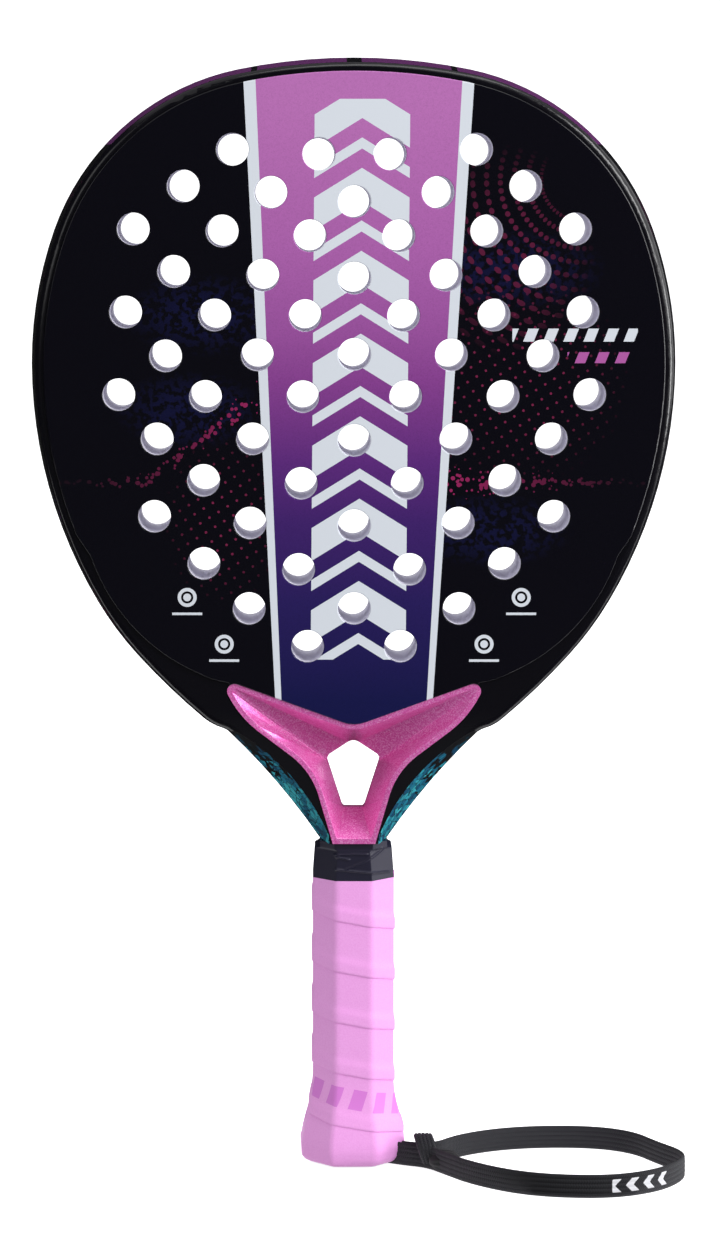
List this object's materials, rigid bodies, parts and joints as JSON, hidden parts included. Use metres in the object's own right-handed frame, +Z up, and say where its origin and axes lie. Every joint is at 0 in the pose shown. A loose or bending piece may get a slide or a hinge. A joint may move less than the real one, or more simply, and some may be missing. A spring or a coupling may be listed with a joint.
{
  "type": "padel racket",
  "caption": "Teardrop padel racket with a drilled foam-cored face, an open faceted throat, an octagonal wrapped grip and a flat wrist cord.",
  "frame": {"origin": "middle of the butt's foot, on the ground, under the handle's axis", "axes": "+Z up the racket from butt to crown, +X across the face, the front face looks along -Y"},
  "size_m": [0.2624, 0.086, 0.447],
  "materials": {
    "carbon_frame": "gloss lacquer over laminate",
    "bridge_laminate": "raw laminate",
    "eva_foam": "matt closed-cell foam",
    "printed_laminate": "gloss lacquer over print",
    "pink_moulding": "metallic pink",
    "pu_foam": "foam",
    "pu_pallet": "moulded foam",
    "black_plastic": "moulded, fine grain",
    "staple_steel": "bright wire",
    "base_grip_leather": "synthetic leather",
    "pink_overgrip": "soft matt polyurethane",
    "tape_film": "adhesive tape",
    "black_rubber": "embossed",
    "black_braid": "ribbed braid"
  },
  "bodies": {
    "root": {"frame_hoop": "carbon_frame", "throat_bridge": "bridge_laminate", "eva_core": "eva_foam", "front_face": "printed_laminate", "rear_face": "printed_laminate", "heart_front": "pink_moulding", "heart_rear": "pink_moulding", "handle_foam_core": "pu_foam", "pallet_front": "pu_pallet", "pallet_rear": "pu_pallet", "butt_cap": "black_plastic", "cap_staples": "staple_steel", "base_grip": "base_grip_leather", "overgrip": "pink_overgrip", "finishing_tape": "tape_film", "rubber_collar": "black_rubber", "wrist_cord": "black_braid", "cord_knot": "black_braid", "cord_tail_knot": "black_braid"}
  },
  "joints": []
}
